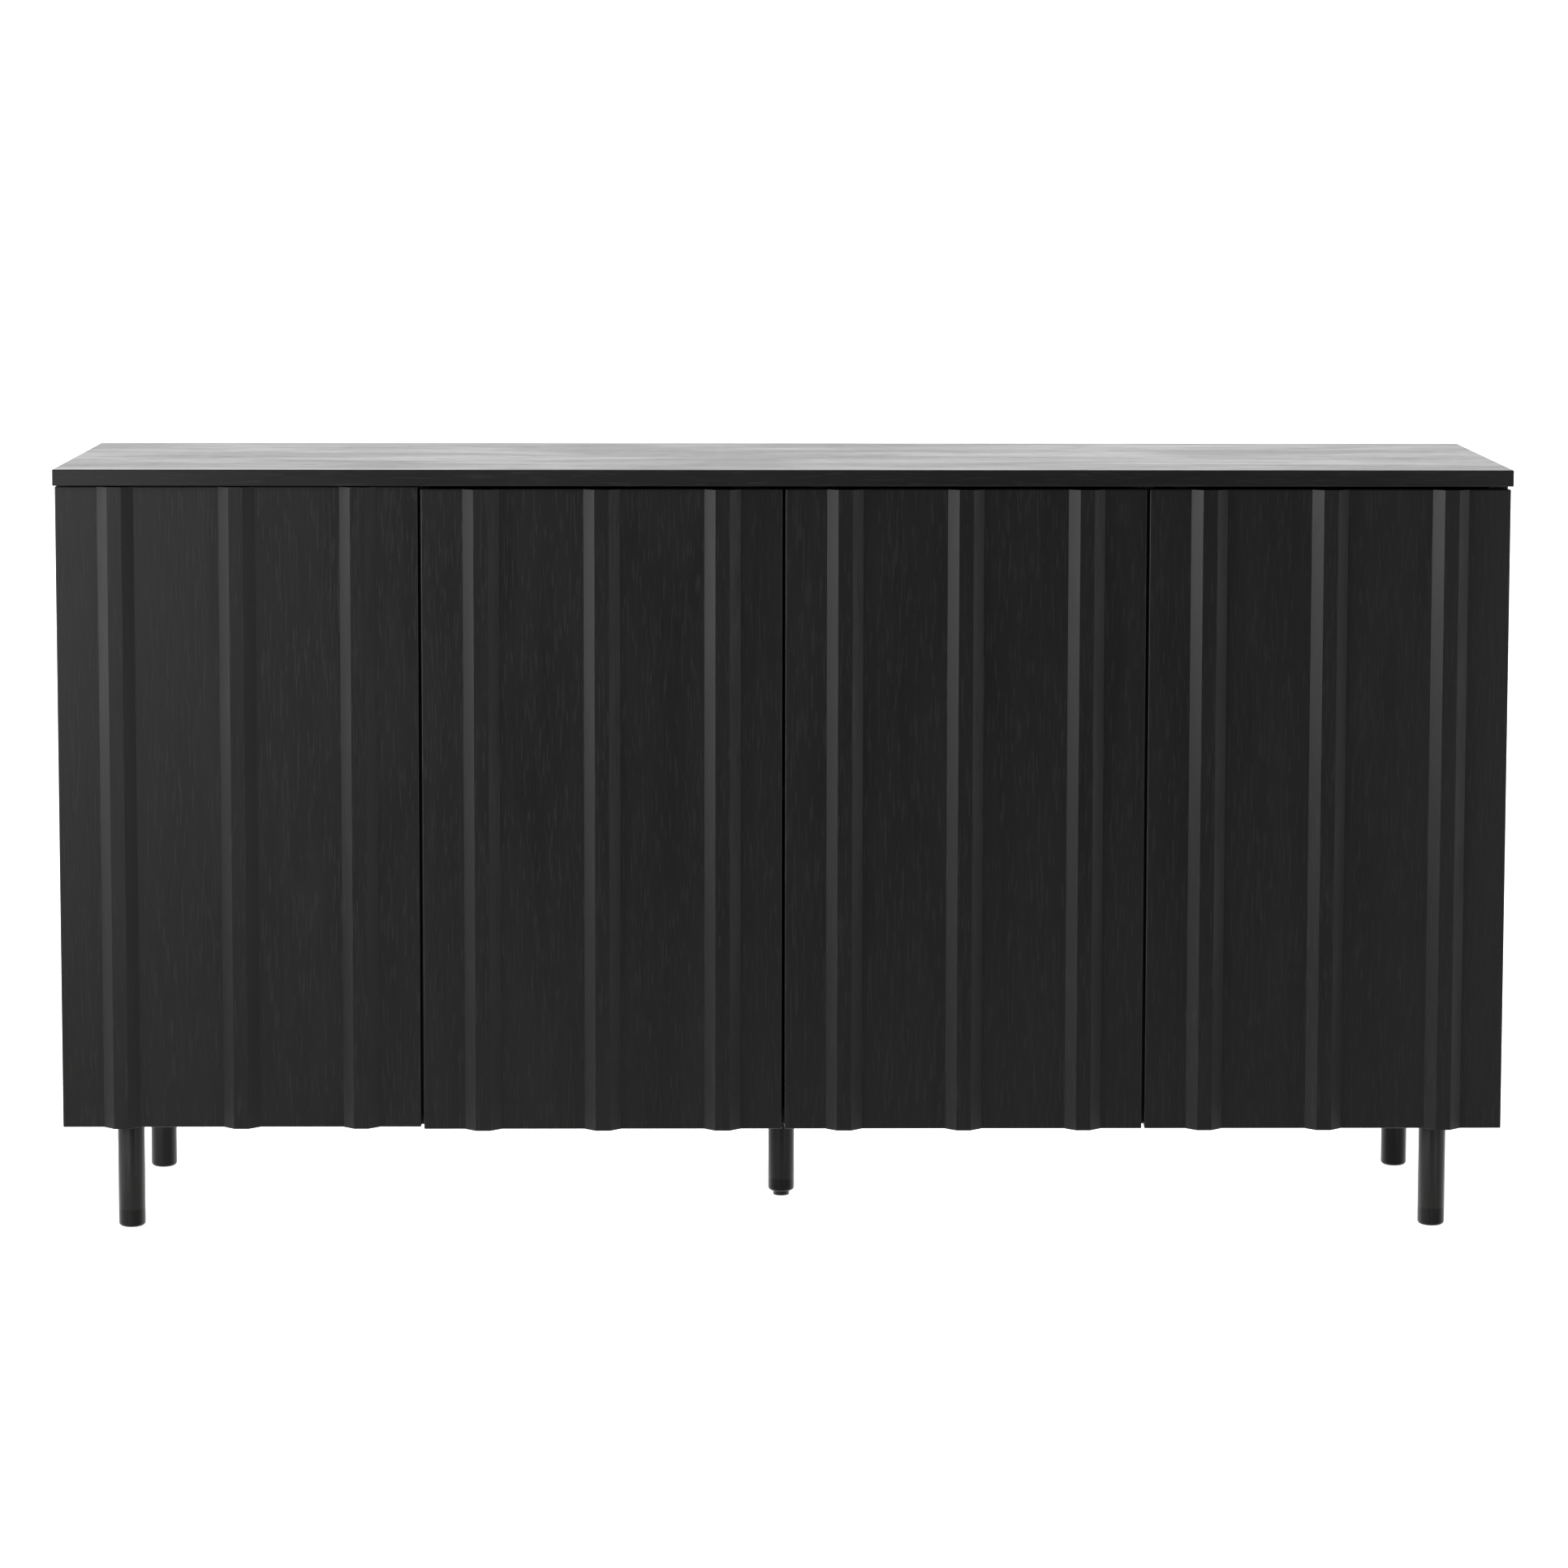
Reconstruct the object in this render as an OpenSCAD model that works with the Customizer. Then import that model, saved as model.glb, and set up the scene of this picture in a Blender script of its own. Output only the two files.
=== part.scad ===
// Four-door sideboard on five round legs, with ribbed overlay doors, three compartments,
// adjustable shelves, concealed hinges and push-to-open latches.
// +X runs along the front, the doors face -Y and +Z is up.
// The origin is on the floor, under the centre of the top panel.

/* [Case] */
// Width of the top panel
width = 1600; // [1560:10:1700]
// Depth of the top panel
depth = 400; // [390:5:450]
// Height of the top surface above the floor
height = 854; // [840:1:880]
// Thickness of the top, bottom, sides and partitions
board_t = 18; // [18:1:19]
// How far the top reaches past the doors and the case
overhang = 1; // [1:1:3]
// Thickness of the back panels
back_t = 4; // [3:1:4]
// Distance from the back edge to the back panels
back_inset = 8; // [7:1:12]
// Width of the outer compartments, from the case's outer face to the partition's centre
outer_bay = 398.75; // [380:0.25:410]

/* [Doors] */
// Thickness of a door without its ribs
door_t = 18; // [18:1:19]
// Height of a door
door_h = 713.5; // [690:0.5:714]
// Gap between two doors
door_gap = 3; // [3:0.5:4]
// Gap between the top panel and the doors
top_gap = 4; // [4:0.5:6]
// Gap between the back of a door and the front edge of the case
back_gap = 3; // [3:0.5:4]
// How much higher the first door hangs than the others
first_door_lift = 2.5; // [0:0.5:2.5]

/* [Ribs] */
// Ribs on each door
rib_count = 3; // [1:1:4]
// Width of a rib where it meets the door
rib_base = 40; // [30:1:50]
// Width of a rib's flat front
rib_front = 16; // [10:1:26]
// How far a rib stands out from the door
rib_depth = 10; // [4:0.5:10]
// Distance from one rib to the next
rib_pitch = 132.7; // [110:0.1:135]

/* [Legs] */
// Diameter of a leg
leg_d = 30; // [26:1:34]
// Rounding of a leg's lower edge
leg_round = 4; // [2:0.5:5]
// Height of the case's underside above the floor
leg_h = 119.5; // [110:0.5:125]
// Distance from the middle to the corner legs along X
leg_x = 729; // [700:1:735]
// Distance from the middle to the corner legs along Y
leg_y = 147; // [130:1:147]
// Diameter of the centre leg's levelling foot
foot_d = 18.5; // [16:0.5:20]
// Height of the levelling foot that shows under the centre leg
foot_show = 5; // [4.5:0.5:8]

/* [Shelves] */
// Thickness of a shelf
shelf_t = 16; // [16:1:18]
// Height of the shelves' pins above the floor
shelf_pin_z = 478; // [440:1:520]

/* [Hinges] */
// Distance from a door's upper and lower edge to the nearest hinge
hinge_inset = 100; // [80:1:150]
// Radius of a hinge pin
pin_r = 1.2; // [1.1:0.05:1.3]
// Radial clearance between a hinge pin and the arm's eye
pin_clearance = 0.05; // [0.03:0.01:0.08]

/* [Latches] */
// Distance from a door's free edge to its latch
latch_inset = 38; // [34:1:60]
// Distance from the underside of the top panel down to the latch plungers
latch_drop = 18; // [17:1:24]
// Radius of a latch plunger
plunger_r = 4; // [3.5:0.5:4.5]

/* [Hidden] */
$fn = 48;

// Colours
oak = [0.15, 0.147, 0.145];
rib_oak = [0.19, 0.187, 0.184];
inner_black = [0.1, 0.1, 0.1];
nickel = [0.72, 0.71, 0.68];
zinc = [0.6, 0.61, 0.62];
beech = [0.78, 0.62, 0.42];
black_plastic = [0.06, 0.06, 0.06];
grey_plastic = [0.45, 0.45, 0.46];

// How far a cutter reaches past the face it opens
cut_past = 1;

// Case: heights and faces, from the floor, the middle and the front
case_half = width / 2 - overhang;
inner_half = case_half - board_t;
partition_x = case_half - outer_bay;
top_z = height - board_t;
floor_z = leg_h + board_t;
door_front_y = -depth / 2 + overhang + rib_depth;
door_back_y = door_front_y + door_t;
case_front_y = door_back_y + back_gap;
rear_y = depth / 2;
back_panel_y = rear_y - back_inset - back_t;

// Back panels sit in grooves, and meet on the partitions' back edges
groove_depth = 6;
groove_play = 0.2;
back_joint_gap = 1;

// Softened edges of the boards
edge_soft = 0.8;

// Doors, numbered 1 to 4 from the left: 1 and 2 hang on their left edge, 3 and 4 on their right edge
door_w = (2 * case_half - 3 * door_gap) / 4;
door_z = top_z - top_gap - door_h;
// Bevel along the back of the hinged edge, which lets the door turn close to the case
hinge_bevel = 5;
function hung_left(door) = door <= 2;
function door_left_x(door) = -case_half + (door - 1) * (door_w + door_gap);
function hinge_edge_x(door) = door_left_x(door) + (hung_left(door) ? 0 : door_w);
function door_lift(door) = door == 1 ? first_door_lift : 0;
function hinge_heights() = [door_z + hinge_inset, door_z + door_h - hinge_inset];
rib_margin = (door_w - rib_base - (rib_count - 1) * rib_pitch) / 2;

// Hinge, measured from the door's hinged edge (first number) and from its back face into the
// case (second number)
pin_u = 12;
pin_v = -11;
pin_half = 11.4;
cup_u = 24;
cup_r = 17.5;
cup_wall = 0.8;
cup_depth = 14.2;
flange_r = 18.5;
flange_t = 0.8;
flange_wing_w = 12;
flange_wing_half = 29;
cup_screw_w = 24;
cup_screw_r = 1.75;
cup_screw_l = 10;
cup_screw_head_r = 3.2;
cup_screw_head_t = 0.9;
eye_r = 2.2;
arm_half_t = 1;
arm_neck_w = 9;
arm_bar_w = 12;
arm_bar_t = 7;
arm_bar_l = 50;
arm_neck = [[pin_u, pin_v], [20, -12.1], [24.5, -11.6], [27.6, -9], [29, -5]];
side_neck_end = [[29, 18]];
partition_neck_end = [[29, 6], [24, 11], [17, 17]];
plate_t = 5;
wing_t = 2.2;
plate_back = 37;
plate_block = [32, 14];
plate_wing = [14, 46];
plate_screw_pitch = 32;
plate_screw_r = 2.5;
plate_screw_l = 11;
plate_screw_head_r = 4;
plate_screw_head_t = 2;
arm_screw_r = 2.9;
arm_screw_proud = 0.8;
arm_screw_pitch = 24;
slot_w = 1;
slot_depth = 0.6;
// Distance from the door's hinged edge to the inner face of the board that carries the hinge
side_face_u = board_t;
partition_face_u = -hinge_edge_x(2) - partition_x + board_t / 2;
function face_u(door) = (door == 1 || door == 4) ? side_face_u : partition_face_u;

// Latches: a housing under the top panel with a plunger that pushes on a strike disc
latch_z = top_z - latch_drop;
latch_w = 16;
latch_h = 20;
latch_l = 70;
latch_set_back = 1;
latch_flange = [34, 40];
latch_screw_x = 12;
latch_screw_r = 1.75;
latch_screw_l = 12;
latch_screw_head_r = 3.4;
latch_screw_head_t = 1.8;
plunger_l = 50;
plunger_bore_l = 60;
plunger_play = 0.05;
strike_r = 7;
strike_t = 1;
strike_clearance = 0.3;
latch_y = case_front_y + latch_set_back + latch_l / 2;
function latch_x(door) =
    door_left_x(door) + (hung_left(door) ? door_w - latch_inset : latch_inset);

// Legs
leg_r = leg_d / 2;
leg_plate_t = 2;
leg_plate_w = 40;
leg_top_z = leg_h - leg_plate_t;
glide_r = 9;
glide_t = 3.5;
glide_show = 0.5;
stud_r = 4;
stud_in_leg = 30;
stud_in_case = 6;
leg_screw_offset = 15.5;
leg_screw_r = 1.75;
leg_screw_l = 12;
leg_screw_head_r = 3.2;
leg_screw_head_t = 1.6;
foot_disc_h = 9;
foot_stem_l = 36;
foot_recess_h = 9;
foot_play = 0.35;
foot_bore_play = 0.05;
foot_bore_l = 38;
corner_legs = [for (x = [-leg_x, leg_x], y = [-leg_y, leg_y]) [x, y]];
all_legs = concat(corner_legs, [[0, 0]]);

// Joints between boards. Each entry is a place on the joint face, then two turns: the second
// turn is about the bolt's own axis and chooses the face that the cam lock opens on.
cam_r = 7.5;
cam_depth = 14;
cam_distance = 34;
cam_cross_depth = 2;
bolt_r = 3;
bolt_grip = 11;
bolt_hole_r = 3.5;
bolt_end_gap = 3;
dowel_r = 4;
dowel_l = 29;
dowel_in_end = 18;
no_turn = [0, 0, 0];
upside_down = [180, 0, 0];
towards_left = [0, -90, 0];
towards_right = [0, 90, 0];
top_joint_y = [-120, 140];
top_dowel_y = [-60, 80];
foot_joint_y = [-90, 90];
foot_dowel_y = [-50, 50];
upright_x = [-case_half + board_t / 2, -partition_x, partition_x, case_half - board_t / 2];
upright_turn = [0, 180, 0, 180];
top_cams = [for (i = [0:3], y = top_joint_y) [[upright_x[i], y, top_z], no_turn, upright_turn[i]]];
top_dowels = [for (x = upright_x, y = top_dowel_y) [[x, y, top_z], no_turn, 0]];
partition_cams = [for (i = [1, 2], y = top_joint_y)
    [[upright_x[i], y, floor_z], upside_down, upright_turn[i]]];
partition_dowels = [for (i = [1, 2], y = top_dowel_y) [[upright_x[i], y, floor_z], upside_down, 0]];
side_cams = [for (y = foot_joint_y, side = [-1, 1])
    [[side * inner_half, y, leg_h + board_t / 2], side < 0 ? towards_left : towards_right, side < 0 ? 180 : 0]];
side_dowels = [for (y = foot_dowel_y, side = [-1, 1])
    [[side * inner_half, y, leg_h + board_t / 2], side < 0 ? towards_left : towards_right, 0]];

// Shelves and their pins
shelf_play = 1;
shelf_set_back = 18;
shelf_back_play = 2;
shelf_front_y = case_front_y + shelf_set_back;
shelf_back_y = back_panel_y - shelf_back_play;
pin_hole_r = 2.5;
pin_hole_l = 9;
shelf_pin_out = 9;
shelf_tab = [8, 8, 1.5];
pin_rows_y = [-120, 130];
pin_hole_pitch = 32;
pin_hole_steps = [-3:3];
shelf_z = shelf_pin_z + shelf_tab[2] + pin_hole_r;
// Every face with pin holes: its place along X, and the direction that it looks
pin_faces = [
    [-inner_half, 1], [-partition_x - board_t / 2, -1], [-partition_x + board_t / 2, 1],
    [partition_x - board_t / 2, -1], [partition_x + board_t / 2, 1], [inner_half, -1]
];

// Outline of a strip of even thickness that follows a path of points
function unit(v) = v / norm(v);
function left_of(v) = [-v[1], v[0]];
function strip_corner(path, i, half) =
    let (before = unit(path[max(i, 1)] - path[max(i, 1) - 1]),
         after = i < len(path) - 1 ? unit(path[i + 1] - path[i]) : before,
         normal = unit(left_of(before) + left_of(after)))
    path[i] + normal * half / (normal * left_of(before));
function strip(path, half) = concat(
    [for (i = [0:len(path) - 1]) strip_corner(path, i, half)],
    [for (i = [len(path) - 1:-1:0]) strip_corner(path, i, -half)]);

// A box between two corners
module block(low, high) translate(low) cube(high - low);

// A board between two corners, with small bevels on the four edges that run along X
module soft_board(low, high) {
    size = high - low;
    translate(low) rotate([90, 0, 90]) linear_extrude(size[0]) polygon([
        [edge_soft, 0], [size[1] - edge_soft, 0], [size[1], edge_soft], [size[1], size[2] - edge_soft],
        [size[1] - edge_soft, size[2]], [edge_soft, size[2]], [0, size[2] - edge_soft], [0, edge_soft]
    ]);
}

// Repeats what follows at each joint in a list
module at_joints(list) for (j = list) translate(j[0]) rotate(j[1]) rotate([0, 0, j[2]]) children();

// What one cam joint takes out of its two boards: the cam's pocket, the bolt's hole through the
// end of the first board, and the threaded hole in the second
module cam_cut() {
    translate([board_t / 2 - cam_depth, 0, -cam_distance]) rotate([0, 90, 0])
        cylinder(r = cam_r, h = cam_depth + cut_past);
    translate([0, 0, -cam_distance]) cylinder(r = bolt_hole_r, h = cam_distance);
    cylinder(r = bolt_r, h = bolt_grip);
}

module dowel_cut() translate([0, 0, -dowel_in_end]) cylinder(r = dowel_r, h = dowel_l);

// Places things at the hinged edge and back face of a door, at the height of the floor
module at_hinge_edge(door) translate([hinge_edge_x(door), door_back_y, 0])
    mirror([hung_left(door) ? 0 : 1, 0, 0]) children();

module at_hinges(door, lift) for (z = hinge_heights()) translate([0, 0, z + lift]) children();

// Screw holes of the hinge plates, in the board that carries them
module hinge_plate_cuts(door) at_hinge_edge(door) at_hinges(door, 0) for (side = [-1, 1])
    translate([face_u(door) - plate_screw_l, back_gap + plate_back, side * plate_screw_pitch / 2])
        rotate([0, 90, 0]) cylinder(r = plate_screw_r, h = plate_screw_l + cut_past);

// Rows of shelf pin holes in one face
module pin_hole_cuts(face) for (y = pin_rows_y, step = pin_hole_steps)
    translate([face[0], y, shelf_pin_z + step * pin_hole_pitch]) rotate([0, -90 * face[1], 0])
        translate([0, 0, -cut_past]) cylinder(r = pin_hole_r, h = pin_hole_l + cut_past);

// A groove for the back panels, between two corners given as [x, z]
module back_groove(low, high)
    block([low[0], back_panel_y - groove_play, low[1]], [high[0], back_panel_y + back_t + groove_play, high[1]]);

module top_panel() {
    color(oak) difference() {
        soft_board([-width / 2, -depth / 2, top_z], [width / 2, depth / 2, height]);
        at_joints(top_cams) cam_cut();
        at_joints(top_dowels) dowel_cut();
        back_groove([-inner_half - groove_depth, top_z - cut_past],
            [inner_half + groove_depth, top_z + groove_depth + groove_play]);
        for (door = [1:4], side = [-1, 1])
            translate([latch_x(door) + side * latch_screw_x, latch_y, top_z - cut_past])
                cylinder(r = latch_screw_r, h = latch_screw_l + cut_past);
    }
}

module bottom_panel() {
    color(inner_black) difference() {
        block([-inner_half, case_front_y, leg_h], [inner_half, rear_y, floor_z]);
        at_joints(partition_cams) cam_cut();
        at_joints(partition_dowels) dowel_cut();
        at_joints(side_cams) cam_cut();
        at_joints(side_dowels) dowel_cut();
        back_groove([-inner_half - cut_past, floor_z - groove_depth - groove_play],
            [inner_half + cut_past, floor_z + cut_past]);
        for (leg = all_legs) translate([leg[0], leg[1], leg_h - cut_past]) {
            cylinder(r = stud_r, h = stud_in_case + cut_past);
            at_plate_corners() cylinder(r = leg_screw_r, h = leg_screw_l - leg_plate_t + cut_past);
        }
    }
}

// A side panel: side is -1 on the left and 1 on the right
module side_panel(side) {
    door = side < 0 ? 1 : 4;
    color(oak) difference() {
        block([min(side * inner_half, side * case_half), case_front_y, leg_h],
            [max(side * inner_half, side * case_half), rear_y, top_z]);
        at_joints([for (j = top_cams) if (j[0][0] * side > partition_x + board_t) j]) cam_cut();
        at_joints([for (j = top_dowels) if (j[0][0] * side > partition_x + board_t) j]) dowel_cut();
        at_joints([for (j = side_cams) if (j[0][0] * side > 0) j]) cam_cut();
        at_joints([for (j = side_dowels) if (j[0][0] * side > 0) j]) dowel_cut();
        back_groove([min(side * (inner_half - cut_past), side * (inner_half + groove_depth + groove_play)),
                floor_z - groove_depth - groove_play],
            [max(side * (inner_half - cut_past), side * (inner_half + groove_depth + groove_play)),
                top_z + cut_past]);
        hinge_plate_cuts(door);
        pin_hole_cuts(side < 0 ? pin_faces[0] : pin_faces[5]);
    }
}

module left_side_panel() side_panel(-1);
module right_side_panel() side_panel(1);

// A partition stands on the bottom panel, under the top and in front of the back panels
module partition(side) {
    door = side < 0 ? 2 : 3;
    centre = side * partition_x;
    color(inner_black) difference() {
        block([centre - board_t / 2, case_front_y, floor_z], [centre + board_t / 2, back_panel_y, top_z]);
        at_joints([for (j = top_cams) if (j[0][0] == centre) j]) cam_cut();
        at_joints([for (j = top_dowels) if (j[0][0] == centre) j]) dowel_cut();
        at_joints([for (j = partition_cams) if (j[0][0] == centre) j]) cam_cut();
        at_joints([for (j = partition_dowels) if (j[0][0] == centre) j]) dowel_cut();
        hinge_plate_cuts(door);
        for (face = [for (f = pin_faces) if (abs(f[0] - centre) < board_t) f]) pin_hole_cuts(face);
    }
}

module left_partition() partition(-1);
module right_partition() partition(1);

module back_panel(x0, x1) color(inner_black)
    block([x0, back_panel_y, floor_z - groove_depth], [x1, back_panel_y + back_t, top_z + groove_depth]);

module left_back_panel() back_panel(-inner_half - groove_depth, -partition_x - back_joint_gap / 2);
module middle_back_panel() back_panel(-partition_x + back_joint_gap / 2, partition_x - back_joint_gap / 2);
module right_back_panel() back_panel(partition_x + back_joint_gap / 2, inner_half + groove_depth);

module shelf(x0, x1) color(inner_black)
    soft_board([x0 + shelf_play, shelf_front_y, shelf_z], [x1 - shelf_play, shelf_back_y, shelf_z + shelf_t]);

module left_shelf() shelf(-inner_half, -partition_x - board_t / 2);
module middle_shelf() shelf(-partition_x + board_t / 2, partition_x - board_t / 2);
module right_shelf() shelf(partition_x + board_t / 2, inner_half);

// One pin: a peg in its hole, and a flat tab that the shelf lies on
module shelf_pin() {
    translate([0, 0, -pin_hole_l]) cylinder(r = pin_hole_r, h = pin_hole_l + shelf_pin_out);
    translate([0, -shelf_tab[0] / 2, 0])
        cube([pin_hole_r + shelf_tab[2], shelf_tab[0], shelf_tab[1]]);
}

module shelf_pins() color(nickel) for (face = pin_faces, y = pin_rows_y)
    translate([face[0], y, shelf_pin_z]) rotate([0, 90 * face[1], 0])
        rotate([0, 0, face[1] > 0 ? 180 : 0]) shelf_pin();

// A cam lock: a disc with the bolt's hole in its rim and a cross for the screwdriver
module cam_lock() translate([board_t / 2 - cam_depth, 0, -cam_distance]) difference() {
    rotate([0, 90, 0]) cylinder(r = cam_r, h = cam_depth);
    translate([cam_depth - board_t / 2, 0, 0]) cylinder(r = bolt_hole_r, h = cam_r + cut_past);
    for (turn = [0, 90]) translate([cam_depth, 0, 0]) rotate([turn, 0, 0])
        cube([2 * cam_cross_depth, slot_w, cam_r], center = true);
}

module cam_locks() color(zinc) {
    at_joints(top_cams) cam_lock();
    at_joints(partition_cams) cam_lock();
    at_joints(side_cams) cam_lock();
}

module cam_bolt() translate([0, 0, -cam_distance + bolt_end_gap])
    cylinder(r = bolt_r, h = cam_distance - bolt_end_gap + bolt_grip);

module cam_bolts() color(zinc) {
    at_joints(top_cams) cam_bolt();
    at_joints(partition_cams) cam_bolt();
    at_joints(side_cams) cam_bolt();
}

module dowels() color(beech) {
    at_joints(top_dowels) dowel_cut();
    at_joints(partition_dowels) dowel_cut();
    at_joints(side_dowels) dowel_cut();
}

// A leg's half outline: axis, rounded lower edge and straight side, from z0 up to the plate
function leg_outline(z0) = concat(
    [[0, z0]],
    [for (a = [-90:15:0]) [leg_r - leg_round + leg_round * cos(a), z0 + leg_round + leg_round * sin(a)]],
    [[leg_r, leg_top_z], [0, leg_top_z]]);

module leg_body(z0) difference() {
    rotate_extrude() polygon(leg_outline(z0));
    translate([0, 0, leg_top_z - stud_in_leg]) cylinder(r = stud_r, h = stud_in_leg + cut_past);
}

module corner_leg(x, y) color(oak) translate([x, y, 0]) difference() {
    leg_body(glide_show);
    translate([0, 0, glide_show - cut_past]) cylinder(r = glide_r, h = glide_t - glide_show + cut_past);
}

module front_left_leg() corner_leg(-leg_x, -leg_y);
module front_right_leg() corner_leg(leg_x, -leg_y);
module rear_left_leg() corner_leg(-leg_x, leg_y);
module rear_right_leg() corner_leg(leg_x, leg_y);

// The centre leg is shorter, with a recess and a threaded bore for its levelling foot
module centre_leg() color(oak) difference() {
    leg_body(foot_show);
    translate([0, 0, foot_show - cut_past])
        cylinder(r = foot_d / 2 + foot_play, h = foot_recess_h + cut_past);
    translate([0, 0, foot_show + foot_recess_h - cut_past])
        cylinder(r = stud_r + foot_bore_play, h = foot_bore_l + cut_past);
}

module centre_foot() color(black_plastic) {
    cylinder(d = foot_d, h = foot_disc_h);
    translate([0, 0, foot_disc_h]) cylinder(r = stud_r, h = foot_stem_l);
}

module at_plate_corners() for (x = [-1, 1], y = [-1, 1])
    translate([x * leg_screw_offset, y * leg_screw_offset, 0]) children();

module leg_plates() color(zinc) for (leg = all_legs) translate([leg[0], leg[1], leg_top_z]) difference() {
    translate([-leg_plate_w / 2, -leg_plate_w / 2, 0]) cube([leg_plate_w, leg_plate_w, leg_plate_t]);
    translate([0, 0, -cut_past]) cylinder(r = stud_r, h = leg_plate_t + 2 * cut_past);
    at_plate_corners() translate([0, 0, -cut_past]) cylinder(r = leg_screw_r, h = leg_plate_t + 2 * cut_past);
}

module leg_studs() color(zinc) for (leg = all_legs) translate([leg[0], leg[1], leg_top_z - stud_in_leg])
    cylinder(r = stud_r, h = stud_in_leg + leg_plate_t + stud_in_case);

// Pan-head screw that points along +Z, with its head under Z = 0 and a slot in the head
module screw(r, l, head_r, head_t) difference() {
    union() {
        cylinder(r = r, h = l);
        translate([0, 0, -head_t]) cylinder(r = head_r, h = head_t);
    }
    translate([-head_r - cut_past, -slot_w / 2, -head_t - cut_past])
        cube([2 * (head_r + cut_past), slot_w, slot_depth + cut_past]);
}

module leg_plate_screws() color(zinc) for (leg = all_legs) translate([leg[0], leg[1], leg_top_z])
    at_plate_corners() screw(leg_screw_r, leg_screw_l, leg_screw_head_r, leg_screw_head_t);

module leg_glides() color(black_plastic) for (leg = corner_legs) translate([leg[0], leg[1], 0])
    cylinder(r = glide_r, h = glide_t);

// A door panel, with softened edges, the hinge bevel, and holes for its hinge cups
module door_panel(door) color(oak) at_hinge_edge(door) difference() {
    translate([0, 0, door_z + door_lift(door)]) linear_extrude(door_h) polygon([
        [edge_soft, -door_t], [door_w - edge_soft, -door_t], [door_w, edge_soft - door_t],
        [door_w, -edge_soft], [door_w - edge_soft, 0], [hinge_bevel, 0], [0, -hinge_bevel],
        [0, edge_soft - door_t]
    ]);
    at_hinges(door, door_lift(door)) {
        translate([cup_u, cut_past, 0]) rotate([90, 0, 0]) cylinder(r = cup_r, h = cup_depth + cut_past);
        for (side = [-1, 1]) translate([cup_u, cut_past, side * cup_screw_w]) rotate([90, 0, 0])
            cylinder(r = cup_screw_r, h = cup_screw_l - flange_t + cut_past);
    }
}

module door_1_panel() door_panel(1);
module door_2_panel() door_panel(2);
module door_3_panel() door_panel(3);
module door_4_panel() door_panel(4);

// The upright ribs on the front of a door
module door_ribs(door) color(rib_oak) at_hinge_edge(door)
    for (i = [0:rib_count - 1]) translate([rib_margin + i * rib_pitch, -door_t, door_z + door_lift(door)])
        linear_extrude(door_h) polygon([
            [0, 0], [(rib_base - rib_front) / 2, -rib_depth], [(rib_base + rib_front) / 2, -rib_depth],
            [rib_base, 0]
        ]);

module door_1_ribs() door_ribs(1);
module door_2_ribs() door_ribs(2);
module door_3_ribs() door_ribs(3);
module door_4_ribs() door_ribs(4);

// Hinge cups: a pressed cup in the door's back, with a flange and two screw wings
module hinge_cups(door) color(nickel) at_hinge_edge(door) at_hinges(door, door_lift(door)) difference() {
    union() {
        translate([cup_u, 0, 0]) rotate([90, 0, 0]) cylinder(r = cup_r, h = cup_depth);
        translate([cup_u, flange_t, 0]) rotate([90, 0, 0]) cylinder(r = flange_r, h = flange_t);
        translate([cup_u - flange_wing_w / 2, 0, -flange_wing_half])
            cube([flange_wing_w, flange_t, 2 * flange_wing_half]);
    }
    translate([cup_u, flange_t + cut_past, 0]) rotate([90, 0, 0])
        cylinder(r = cup_r - cup_wall, h = cup_depth - cup_wall + flange_t + cut_past);
    translate([pin_u, pin_v, -pin_half]) cylinder(r = pin_r, h = 2 * pin_half);
    for (side = [-1, 1]) translate([cup_u, flange_t + cut_past, side * cup_screw_w]) rotate([90, 0, 0])
        cylinder(r = cup_screw_r, h = flange_t + 2 * cut_past);
}

module door_1_hinge_cups() hinge_cups(1);
module door_2_hinge_cups() hinge_cups(2);
module door_3_hinge_cups() hinge_cups(3);
module door_4_hinge_cups() hinge_cups(4);

// Hinge pins, held in the walls of the cups
module hinge_pins(door) color(zinc) at_hinge_edge(door) at_hinges(door, door_lift(door))
    translate([pin_u, pin_v, -pin_half]) cylinder(r = pin_r, h = 2 * pin_half);

module door_1_hinge_pins() hinge_pins(1);
module door_2_hinge_pins() hinge_pins(2);
module door_3_hinge_pins() hinge_pins(3);
module door_4_hinge_pins() hinge_pins(4);

module cup_screws(door) color(zinc) at_hinge_edge(door) at_hinges(door, door_lift(door))
    for (side = [-1, 1]) translate([cup_u, flange_t, side * cup_screw_w]) rotate([90, 0, 0])
        screw(cup_screw_r, cup_screw_l, cup_screw_head_r, cup_screw_head_t);

module door_1_cup_screws() cup_screws(1);
module door_2_cup_screws() cup_screws(2);
module door_3_cup_screws() cup_screws(3);
module door_4_cup_screws() cup_screws(4);

// A hinge arm: an eye round the pin, a neck that leaves the cup, and a bar on the mounting plate
module hinge_arm(face, neck_end) {
    bar_u = face + plate_t;
    bar_v = back_gap + plate_back - arm_bar_l / 2;
    difference() {
        union() {
            translate([pin_u, pin_v, -arm_neck_w / 2]) cylinder(r = eye_r, h = arm_neck_w);
            translate([0, 0, -arm_neck_w / 2]) linear_extrude(arm_neck_w)
                polygon(strip(concat(arm_neck, neck_end), arm_half_t));
            translate([bar_u, bar_v, -arm_bar_w / 2]) cube([arm_bar_t, arm_bar_l, arm_bar_w]);
        }
        translate([pin_u, pin_v, -arm_neck_w]) cylinder(r = pin_r + pin_clearance, h = 2 * arm_neck_w);
        at_arm_screws(face) translate([0, 0, -cut_past])
            cylinder(r = arm_screw_r, h = arm_bar_t + 2 * cut_past);
    }
}

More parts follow.
